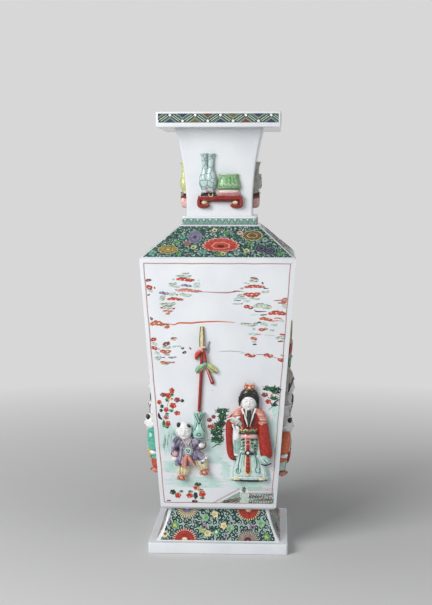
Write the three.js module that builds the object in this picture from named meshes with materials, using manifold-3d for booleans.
// A slab-built square porcelain vase with sprigged relief figures, in millimetres, +Z up.
// Its origin is the middle of the foot's resting face. The front faces -Y.
// Flat and curved slabs are mitred at the four arrises and luted with a thin seam of slip;
// the relief figures and antiques are moulded apart and luted onto the walls.
import * as THREE from "three";
import { mergeVertices } from "three/addons/utils/BufferGeometryUtils.js";
import Module from "manifold-3d";

// Heights of the sections, from the table up. The body hangs a little over the foot's top.
const FOOT_RIM_HEIGHT = 13;
const FOOT_SKIRT_HEIGHT = 37.5;
const BODY_RAISE = 3;
const BODY_HEIGHT = 297.5;
const SHOULDER_HEIGHT = 37.5;
const COLLAR_HEIGHT = 10.5;
const NECK_HEIGHT = 103;
const MOUTH_HEIGHT = 18;

// Outer widths across the square section.
const FOOT_RIM_WIDTH = 165.5;
const FOOT_BOTTOM_WIDTH = 148.5;
const FOOT_TOP_WIDTH = 120;
const BODY_BOTTOM_WIDTH = 137.5;
const BODY_TOP_WIDTH = 181;
const SHOULDER_TOP_WIDTH = 93.5;
const COLLAR_WIDTH = 88.5;
const NECK_BOTTOM_WIDTH = 78;
const NECK_TOP_WIDTH = 104;
const MOUTH_WIDTH = 145;

// Wall thicknesses and seams.
const WALL = 7;
const NECK_WALL = 6.5;
const SKIRT_WALL = 6.5;
const FOOT_RIM_DEPTH = 15;
const MOUTH_PLATE_THICKNESS = 6;
const MOUTH_BAND_THICKNESS = 6.5;
const FLOOR_THICKNESS = 9;
const FLOOR_CLEARANCE = 0.4;
const SEAM = 0.28;
const SPRIG_GAP = 0.3;

// How far up the neck and the foot skirt their curves bend, and how much the skirt swells.
const NECK_FLARE_RISE = 59;
const FOOT_FLARE_RISE = 16;
const FOOT_FLARE_SWELL = 3;
const CURVE_STEPS = 7;

// The heights above the table that the sections reach.
const FOOT_TOP = FOOT_RIM_HEIGHT + FOOT_SKIRT_HEIGHT;
const BODY_BOTTOM = FOOT_TOP + BODY_RAISE;
const BODY_TOP = BODY_BOTTOM + BODY_HEIGHT;
const SHOULDER_TOP = BODY_TOP + SHOULDER_HEIGHT;
const COLLAR_TOP = SHOULDER_TOP + COLLAR_HEIGHT;
const NECK_TOP = COLLAR_TOP + NECK_HEIGHT;
const MOUTH_TOP = NECK_TOP + MOUTH_HEIGHT;

const SIDES = ["front", "right", "back", "left"];
const QUARTER_TURN = Math.PI / 2;

const wasm = await Module();
wasm.setup();

const GLAZE = 0xe9ecec;
const COLOURS = {
  glaze: GLAZE,
  verte: 0x4f8f74,
  turquoise: 0x7fc4b2,
  iron_red: 0xb5402c,
  aubergine: 0x5d4a66,
  celadon: 0x86b89a,
  leaf_green: 0x6fae62,
};

function material(name) {
  return new THREE.MeshStandardMaterial({
    name,
    color: COLOURS[name],
    roughness: 0.18,
    metalness: 0,
  });
}

// A closed three.js geometry as a solid that can be joined and cut.
function solidOf(geometry) {
  const bare = geometry.index ? geometry.toNonIndexed() : geometry.clone();
  for (const name of Object.keys(bare.attributes)) {
    if (name !== "position") bare.deleteAttribute(name);
  }
  const merged = mergeVertices(bare, 1e-4);
  return new wasm.Manifold(
    new wasm.Mesh({
      numProp: 3,
      vertProperties: merged.attributes.position.array,
      triVerts: new Uint32Array(merged.index.array),
    }),
  );
}

function geometryOf(solid) {
  const mesh = solid.getMesh();
  const position = new THREE.BufferAttribute(mesh.vertProperties, 3);
  const geometry = new THREE.BufferGeometry();
  geometry.setAttribute("position", position);
  geometry.setIndex(new THREE.BufferAttribute(mesh.triVerts, 1));
  geometry.computeVertexNormals();
  return geometry;
}

function joined(solids) {
  return solids.reduce((whole, next) => whole.add(next));
}

// A square ring turned about the axis from a closed profile of [half width, height] points.
function squareRing(profile) {
  const points = profile.map(([half, z]) => new THREE.Vector2(half * Math.SQRT2, z));
  points.push(points[0].clone());
  const ring = new THREE.LatheGeometry(points, 4, Math.PI / 4);
  ring.rotateX(QUARTER_TURN);
  return solidOf(ring);
}

// The quarter of space in front of the axis, held back from both mitre planes by half a seam.
function frontQuarter() {
  const reach = MOUTH_TOP;
  const inset = SEAM * Math.SQRT1_2;
  const outline = new THREE.Shape([
    new THREE.Vector2(0, -inset),
    new THREE.Vector2(-reach, -reach - inset),
    new THREE.Vector2(reach, -reach - inset),
  ]);
  const wedge = new THREE.ExtrudeGeometry(outline, { depth: 2 * reach, bevelEnabled: false });
  wedge.translate(0, 0, -reach / 2);
  return solidOf(wedge);
}

const group = new THREE.Group();
const quarter = frontQuarter();

function addMesh(parent, name, geometry, colour) {
  const mesh = new THREE.Mesh(geometry, material(colour));
  mesh.name = name;
  parent.add(mesh);
  return mesh;
}

// Four mitred slabs, one to a side, cut from the square ring of a wall's profile.
function addSlabs(stem, profile, colour) {
  const slab = geometryOf(squareRing(profile).intersect(quarter));
  SIDES.forEach((side, turn) => {
    addMesh(group, `${stem}_${side}`, slab, colour).rotation.z = turn * QUARTER_TURN;
  });
}

// A wall of one thickness between an outer curve and the same curve moved inwards.
function wallProfile(outer, thickness) {
  const inner = outer.map(([half, z]) => [half - thickness, z]);
  return [...outer, ...inner.reverse()];
}

function curveOf(bottom, control, top) {
  const curve = new THREE.QuadraticBezierCurve(
    new THREE.Vector2(...bottom),
    new THREE.Vector2(...control),
    new THREE.Vector2(...top),
  );
  return curve.getPoints(CURVE_STEPS).map((p) => [p.x, p.y]);
}

// Foot: four rim blocks that stand on the table, and the flared skirt slabs on them.
const rimHalf = FOOT_RIM_WIDTH / 2;
addSlabs(
  "foot_rim",
  [
    [rimHalf - FOOT_RIM_DEPTH, 0],
    [rimHalf, 0],
    [rimHalf, FOOT_RIM_HEIGHT],
    [rimHalf - FOOT_RIM_DEPTH, FOOT_RIM_HEIGHT],
  ],
  "glaze",
);
const skirtOuter = curveOf(
  [FOOT_BOTTOM_WIDTH / 2, FOOT_RIM_HEIGHT + SEAM],
  [FOOT_TOP_WIDTH / 2 + FOOT_FLARE_SWELL, FOOT_RIM_HEIGHT + FOOT_FLARE_RISE],
  [FOOT_TOP_WIDTH / 2, FOOT_TOP],
);
addSlabs("foot_skirt", wallProfile(skirtOuter, SKIRT_WALL), "verte");

// Body: a floor slab that closes it, and four tapering walls standing round the floor.
const bodyBottomHalf = BODY_BOTTOM_WIDTH / 2;
const bodyTopHalf = BODY_TOP_WIDTH / 2;
const bodyTaper = (bodyTopHalf - bodyBottomHalf) / BODY_HEIGHT;
addSlabs(
  "body_wall",
  [
    [bodyBottomHalf - WALL, BODY_BOTTOM],
    [bodyBottomHalf, BODY_BOTTOM],
    [bodyTopHalf, BODY_TOP],
    [bodyTopHalf - WALL, BODY_TOP],
  ],
  "glaze",
);
const floorBottomHalf = bodyBottomHalf - WALL - FLOOR_CLEARANCE;
const floorBottom = FOOT_TOP + SEAM;
const floorTop = floorBottom + FLOOR_THICKNESS;
const floor = squareRing([
  [0, floorBottom],
  [floorBottomHalf, floorBottom],
  [floorBottomHalf, BODY_BOTTOM],
  [floorBottomHalf + bodyTaper * (floorTop - BODY_BOTTOM), floorTop],
  [0, floorTop],
]);
addMesh(group, "body_floor", geometryOf(floor), "glaze");

// Shoulder: four trapezoid slabs sloping up and in from the body to the collar.
const shoulderTopHalf = SHOULDER_TOP_WIDTH / 2;
const shoulderSlope = Math.atan2(SHOULDER_HEIGHT, bodyTopHalf - shoulderTopHalf);
const shoulderDrop = WALL / Math.cos(shoulderSlope);
addSlabs(
  "shoulder",
  [
    [bodyTopHalf, BODY_TOP + SEAM],
    [shoulderTopHalf, SHOULDER_TOP],
    [shoulderTopHalf - WALL, SHOULDER_TOP],
    [shoulderTopHalf - WALL, SHOULDER_TOP - shoulderDrop + WALL * Math.tan(shoulderSlope)],
    [bodyTopHalf - shoulderDrop / Math.tan(shoulderSlope), BODY_TOP + SEAM],
  ],
  "verte",
);

// Neck: a square collar on the shoulder, four flaring walls, and the dished mouth on them.
const neckBottomHalf = NECK_BOTTOM_WIDTH / 2;
const neckTopHalf = NECK_TOP_WIDTH / 2;
const collar = squareRing([
  [neckBottomHalf - NECK_WALL, SHOULDER_TOP + SEAM],
  [COLLAR_WIDTH / 2, SHOULDER_TOP + SEAM],
  [COLLAR_WIDTH / 2, COLLAR_TOP],
  [neckBottomHalf - NECK_WALL, COLLAR_TOP],
]);
addMesh(group, "neck_collar", geometryOf(collar), "turquoise");
const neckOuter = curveOf(
  [neckBottomHalf, COLLAR_TOP + SEAM],
  [neckBottomHalf, COLLAR_TOP + NECK_FLARE_RISE],
  [neckTopHalf, NECK_TOP],
);
addSlabs("neck_wall", wallProfile(neckOuter, NECK_WALL), "glaze");

const mouthHalf = MOUTH_WIDTH / 2;
const mouthFloor = NECK_TOP + SEAM + MOUTH_PLATE_THICKNESS;
const mouthPlate = squareRing([
  [neckTopHalf - NECK_WALL, NECK_TOP + SEAM],
  [mouthHalf, NECK_TOP + SEAM],
  [mouthHalf, mouthFloor],
  [neckTopHalf - NECK_WALL, mouthFloor],
]);
addMesh(group, "mouth_plate", geometryOf(mouthPlate), "glaze");
addSlabs(
  "mouth_band",
  [
    [mouthHalf - MOUTH_BAND_THICKNESS, mouthFloor + SEAM],
    [mouthHalf, mouthFloor + SEAM],
    [mouthHalf, MOUTH_TOP],
    [mouthHalf - MOUTH_BAND_THICKNESS, MOUTH_TOP],
  ],
  "verte",
);

// Rounded building forms for the reliefs. In a relief's frame X runs along the wall to the
// right, Z up it, and -Y out of it.
function ball([x, y, z], [rx, ry, rz], segments = 10) {
  const sphere = new THREE.SphereGeometry(1, segments, Math.round(segments * 0.7));
  sphere.rotateX(QUARTER_TURN);
  sphere.scale(rx, ry, rz);
  sphere.translate(x, y, z);
  return solidOf(sphere);
}

// A round limb from one point to another, flattened towards the wall by its depth.
function limb(from, to, startRadius, endRadius, depth = 1, segments = 10) {
  const start = new THREE.Vector3(...from);
  const end = new THREE.Vector3(...to);
  const along = end.clone().sub(start);
  const cone = new THREE.CylinderGeometry(endRadius, startRadius, along.length(), segments);
  cone.translate(0, along.length() / 2, 0);
  const turn = new THREE.Quaternion().setFromUnitVectors(
    new THREE.Vector3(0, 1, 0),
    along.normalize(),
  );
  cone.applyQuaternion(turn);
  cone.scale(1, depth, 1);
  cone.translate(start.x, start.y, start.z);
  return solidOf(cone);
}

function block([x, y, z], [sx, sy, sz]) {
  const box = new THREE.BoxGeometry(sx, sy, sz);
  box.translate(x, y, z);
  return solidOf(box);
}

// The half space in front of a flat wall, a slip's thickness off it.
function inFrontOfWall() {
  const reach = MOUTH_TOP;
  return block([0, -reach / 2 - SPRIG_GAP, 0], [reach, reach, 2 * reach]);
}

const wallFront = inFrontOfWall();

// The heights that the figures' forms are drawn at; each figure's own height scales its forms.
const ADULT_DRAWN = 119;
const BOY_DRAWN = 74;
const JAR_DRAWN = 33;
const STAFF_DRAWN = 102.4;
const VASE_DRAWN = 47;
const CENSER_DRAWN = 18;

// Forms drawn at one height, joined and scaled to another.
function scaledTo(height, drawn, parts) {
  const share = height / drawn;
  return joined(parts).scale([share, share, share]);
}

// A robed adult, standing with the feet at z = 0 about x = 0.
function adultFigure(height, headdress) {
  const parts = [
    limb([1.4, 0, 1], [1, 0, 32], 23.4, 17.4, 0.4, 14),
    limb([1, 0, 30], [-0.6, 0, 62], 16.5, 13, 0.62, 14),
    limb([-1, 0, 58], [0, 0, 80], 14, 16, 0.56, 14),
    ball([0, -1.5, 80], [15, 7, 9], 12),
    limb([6, -4, 87], [16.6, -4.4, 72], 4, 5, 1.1),
    limb([-6, -4, 87], [-16.6, -4.4, 72], 4, 5, 1.1),
    limb([13, -3.6, 79], [18.6, -3.8, 46], 6, 7.4, 0.9),
    limb([18.4, -3.8, 48], [22, -3.6, 25], 7.4, 5.4, 0.9),
    limb([-14.6, -3.4, 80], [-23, -3.6, 61], 5.2, 4.4, 1.1),
    limb([-23, -3.6, 64], [-20, -3.4, 28], 4.4, 3.6, 1.1),
    limb([-14.4, 0, 31], [-13.4, 0, 70], 5.4, 5.2, 1.5),
    limb([-8.5, -5, 69], [-22, -5.2, 75.5], 3.2, 4, 1.1),
    ball([0, -6, 95.6], [9.3, 6.2, 10], 12),
    ball([0.2, -3.9, 101.4], [11.4, 7.3, 12.6], 12),
    limb([0.3, -10, 89], [-0.2, -10, 66], 2.8, 1.2, 0.7, 8),
    ball([-14.4, -7, 3], [4.4, 3.2, 2.6], 8),
    ball([15.6, -7, 3], [4.4, 3.2, 2.6], 8),
  ];
  if (headdress === "crown") {
    parts.push(ball([0.8, -7, 114.4], [6.2, 3.9, 4.2], 8));
  } else if (headdress === "hood") {
    parts.push(limb([0.2, -3.2, 99], [1, -3, 118], 12.4, 4, 0.7, 12));
  } else {
    parts.push(ball([0.4, -4.4, 110], [10.4, 7, 6.6], 12));
    parts.push(ball([0.4, -4.4, 115], [6.4, 5.6, 5.4], 10));
  }
  return scaledTo(height, ADULT_DRAWN, parts);
}

// A boy in a belted coat and wide trousers, striding, one arm down and one arm reaching to
// the side that he faces, 1 for the right and -1 for the left.
function boyFigure(height, facing) {
  const boy = scaledTo(height, BOY_DRAWN, [
    ball([-6, -5, 61.8], [9, 8, 11.6], 12),
    ball([-12, -8.4, 69.6], [2.8, 2.6, 3.7], 8),
    ball([-0.4, -9.4, 69], [2.9, 2.2, 2.2], 8),
    limb([-4.6, 0, 18.6], [-2.6, 0, 47], 13, 12.2, 0.8, 12),
    ball([-3.4, -1, 50], [10.5, 8, 8], 10),
    limb([-10, -3.4, 53], [-16.6, -3.6, 30], 4.8, 5, 1.25),
    ball([-17.2, -4.8, 28], [3.9, 4.5, 3.4], 8),
    limb([4.5, -4.4, 51], [13, -5, 42], 4.3, 4, 1.25),
    ball([13.4, -7, 44.4], [5.2, 4.4, 3.6], 8),
    limb([2, -1, 36], [17, -1, 29], 7, 4, 1.15),
    limb([-5.6, 0, 25], [-8.4, 0, 7], 7.4, 5.6, 1.1),
    limb([6, 0, 32], [16.6, 0, 14], 6.6, 5.6, 1.15),
    ball([-9.4, -4.6, 4.6], [6, 5.6, 3.4], 8),
    ball([17.6, -4.6, 11], [6, 5.6, 3.4], 8),
  ]);
  return facing > 0 ? boy : boy.mirror([1, 0, 0]);
}

// The jar that the boy holds up, its belly low and its mouth turned out.
function jarRelief(height) {
  return scaledTo(height, JAR_DRAWN, [
    limb([0, 0, 0], [0, 0, 5], 6.5, 7.8, 1.25, 14),
    limb([0, 0, 4.8], [0, 0, 20], 7.8, 4.8, 1.25, 14),
    limb([0, 0, 19.8], [0, 0, 33], 4.8, 6.8, 1.25, 14),
  ]);
}

// A halberd that stands in the jar, with a pointed blade, a banner and a ribbon bow.
function staffRelief(height, facing) {
  const staff = scaledTo(height, STAFF_DRAWN, [
    limb([0, -2, 0], [2.8, -2, 76], 1.9, 1.6, 1, 8),
    limb([3.4, -2, 75], [3.8, -1.6, STAFF_DRAWN], 2.8, 1.7, 0.6, 8),
    limb([3, -2.6, 74], [-3.2, -2.2, 62], 2, 2.6, 0.7, 8),
    ball([5.6, -3, 76.6], [3.2, 2, 2.2], 8),
    limb([5.2, -3.6, 77], [8.6, -3.4, 58], 1.6, 1.6, 0.9, 8),
    limb([8.4, -3.2, 58], [-1.6, -2.6, 48], 2.2, 2.6, 0.7, 8),
    limb([8.4, -3.2, 58], [18.4, -2.6, 49], 2.2, 2.6, 0.7, 8),
    limb([8.6, -3.2, 56], [15.8, -2.6, 34], 1.4, 2.2, 0.8, 8),
  ]);
  return facing > 0 ? staff : staff.mirror([1, 0, 0]);
}

// The figures' heights, and how the jar stands over the boy's hand and the staff in the jar.
const ADULT_HEIGHT = 119;
const BOY_HEIGHT = 74;
const JAR_HEIGHT = 33;
const STAFF_HEIGHT = 102.4;
const STAFF_RISE = 1;
const JAR_AHEAD_OF_BOY = 11.5;
const JAR_ABOVE_BOY_FEET = 50;
const JAR_CLEARANCE = 0.35;
const JAR_MAX_WIDTH = 15.8;

// Each wall's figures face a way, 1 for the right and -1 for the left. A figure's place is its
// distance from the arris that it stands nearer to, and from the body's foot.
const BODY_SCENES = {
  front: { facing: 1, adult: [34.7, 34], boy: [37.7, 33], headdress: "crown" },
  right: { facing: 1, adult: [53.3, 35], boy: [28.2, 34], headdress: "hood" },
  back: { facing: -1, adult: [37.2, 34], boy: [36.2, 33], headdress: "crown" },
  left: { facing: -1, adult: [51.3, 35], boy: [29.4, 36.5], headdress: "cap" },
};

const bodyLean = Math.atan(bodyTaper);
SIDES.forEach((side, turn) => {
  const turned = new THREE.Group();
  turned.rotation.z = turn * QUARTER_TURN;
  const leaning = new THREE.Group();
  leaning.position.set(0, -bodyBottomHalf, BODY_BOTTOM);
  leaning.rotation.x = bodyLean;
  turned.add(leaning);
  group.add(turned);

  const scene = BODY_SCENES[side];
  const { facing } = scene;
  const fromArris = (end, [distance, up]) => [
    end * (bodyBottomHalf + bodyTaper * up - distance),
    up,
  ];
  const onWall = (solid, [across, up]) => solid.translate([across, 0, up]).intersect(wallFront);
  const addRelief = (name, solid, colour) =>
    addMesh(leaning, `relief_${side}_${name}`, geometryOf(solid), colour);
  const adultFoot = fromArris(facing, scene.adult);
  const boyFoot = fromArris(-facing, scene.boy);
  const jarFoot = [boyFoot[0] + facing * JAR_AHEAD_OF_BOY, boyFoot[1] + JAR_ABOVE_BOY_FEET];
  const staffFoot = [jarFoot[0], jarFoot[1] + JAR_HEIGHT + STAFF_RISE];
  const jarSpace = block(
    [jarFoot[0], 0, jarFoot[1] + JAR_HEIGHT / 2],
    [JAR_MAX_WIDTH + 2 * JAR_CLEARANCE, 4 * WALL, JAR_HEIGHT + 2 * JAR_CLEARANCE],
  );
  const boy = onWall(boyFigure(BOY_HEIGHT, facing), boyFoot).subtract(jarSpace);
  addRelief("adult", onWall(adultFigure(ADULT_HEIGHT, scene.headdress), adultFoot), "iron_red");
  addRelief("boy", boy, "aubergine");
  addRelief("jar", onWall(jarRelief(JAR_HEIGHT), jarFoot), "turquoise");
  addRelief("staff", onWall(staffRelief(STAFF_HEIGHT, facing), staffFoot), "iron_red");
});

// Neck reliefs: a double vase and a low censer on a scroll-footed stand, cut to the neck's
// curve. They stand about a line a little beside the neck's middle.
const neckEnvelope = squareRing([
  [0, COLLAR_TOP - SPRIG_GAP],
  [neckBottomHalf + SPRIG_GAP, COLLAR_TOP - SPRIG_GAP],
  ...neckOuter.map(([half, z]) => [half + SPRIG_GAP, z]),
  [0, NECK_TOP],
]);
const NECK_SCENE_SHIFT = 0.8;
const STAND_RISE = 9;
const STAND_HEIGHT = 13.4;
const STAND_WIDTH = 54;
const STAND_REACH = 7.4;
const STAND_LEG = 5;
const STAND_BAR = 4.4;
const STAND_CURL = 6;
const STAND_CURL_HEIGHT = 3.6;
const VASE_HEIGHT = 47;
const VASE_FOOT_HEIGHT = 4;
const VASE_FOOT_RADIUS = 7.2;
const VASE_FROM_CENTRE = 14.8;
const VASE_LOBE_SPREAD = 3.9;
const VASE_LOBE_REACH = 1;
const CENSER_HEIGHT = 18;
const CENSER_BASE_HEIGHT = 8;
const CENSER_BASE_RADIUS = 13;
const CENSER_FROM_CENTRE = 10.4;
const SPRIG_SINK = 2;
const ANTIQUE_RISE = STAND_RISE + STAND_HEIGHT + SPRIG_GAP;

function standRelief() {
  const depth = STAND_REACH + SPRIG_SINK;
  const y = SPRIG_SINK - depth / 2;
  const barUp = STAND_HEIGHT - STAND_BAR / 2;
  const parts = [block([0, y, barUp], [STAND_WIDTH, depth, STAND_BAR])];
  for (const end of [-1, 1]) {
    const legAcross = end * (STAND_WIDTH - STAND_LEG) / 2;
    parts.push(block([legAcross, y, STAND_HEIGHT / 2], [STAND_LEG, depth, STAND_HEIGHT]));
    const curlAcross = legAcross - end * (STAND_CURL - 1);
    const curlSize = [STAND_CURL + 1, depth, STAND_CURL_HEIGHT];
    parts.push(block([curlAcross, y, STAND_CURL_HEIGHT / 2], curlSize));
  }
  return joined(parts);
}

// How far the neck's wall has flared out at a height above the table.
function flareAt(height) {
  const above = neckOuter.findIndex(([, z]) => z >= height);
  const [lowHalf, low] = neckOuter[above - 1];
  const [highHalf, high] = neckOuter[above];
  return lowHalf + ((highHalf - lowHalf) * (height - low)) / (high - low) - neckBottomHalf;
}

// Two lobes joined along their length, on a low foot. They lean out with the neck's wall.
function antiqueVase() {
  const foot = COLLAR_TOP + ANTIQUE_RISE + VASE_FOOT_HEIGHT;
  const share = VASE_HEIGHT / VASE_DRAWN;
  const lobes = [-1, 1].flatMap((end) => {
    const across = end * VASE_LOBE_SPREAD;
    const at = (z) => [across, -VASE_LOBE_REACH - flareAt(foot + z * share) / share, z];
    return [
      limb(at(0), at(9), 4.6, 6.2, 0.98, 12),
      limb(at(8.8), at(20), 6.2, 6.4, 0.98, 12),
      limb(at(19.8), at(34), 6.4, 3.9, 0.98, 12),
      limb(at(33.8), at(VASE_DRAWN), 3.9, 4.9, 0.98, 12),
    ];
  });
  const vase = scaledTo(VASE_HEIGHT, VASE_DRAWN, lobes).translate([0, 0, VASE_FOOT_HEIGHT]);
  const base = limb([0, 0, 0], [0, 0, VASE_FOOT_HEIGHT + 1], VASE_FOOT_RADIUS, VASE_FOOT_RADIUS, 0.9);
  return joined([base, vase]);
}

// A squat censer, wide below, on a flat base.
function antiqueCenser() {
  const bowl = scaledTo(CENSER_HEIGHT, CENSER_DRAWN, [
    limb([0, 0, 0], [0, 0, 5], 11.6, 13.6, 0.62, 14),
    limb([0, 0, 4.8], [0, 0, CENSER_DRAWN], 13.6, 11, 0.62, 14),
  ]).translate([0, 0, CENSER_BASE_HEIGHT]);
  const baseTop = CENSER_BASE_HEIGHT + 1;
  const base = limb([0, 0, 0], [0, 0, baseTop], CENSER_BASE_RADIUS, CENSER_BASE_RADIUS, 0.54, 14);
  return joined([base, bowl]);
}

SIDES.forEach((side, turn) => {
  const turned = new THREE.Group();
  turned.rotation.z = turn * QUARTER_TURN;
  group.add(turned);
  const { facing } = BODY_SCENES[side];
  const place = (name, solid, across, up, colour) => {
    const moved = solid
      .translate([facing * (across + NECK_SCENE_SHIFT), -neckBottomHalf, COLLAR_TOP + up])
      .subtract(neckEnvelope)
      .decompose()
      .filter((piece) => piece.boundingBox().max[1] < -neckBottomHalf + SPRIG_SINK)
      .sort((a, b) => b.volume() - a.volume())[0];
    addMesh(turned, `relief_neck_${side}_${name}`, geometryOf(moved), colour);
  };
  place("stand", standRelief(), 0, STAND_RISE, "iron_red");
  place("vase", antiqueVase(), -VASE_FROM_CENTRE, ANTIQUE_RISE, "celadon");
  place("censer", antiqueCenser(), CENSER_FROM_CENTRE, ANTIQUE_RISE, "leaf_green");
});

export default group;
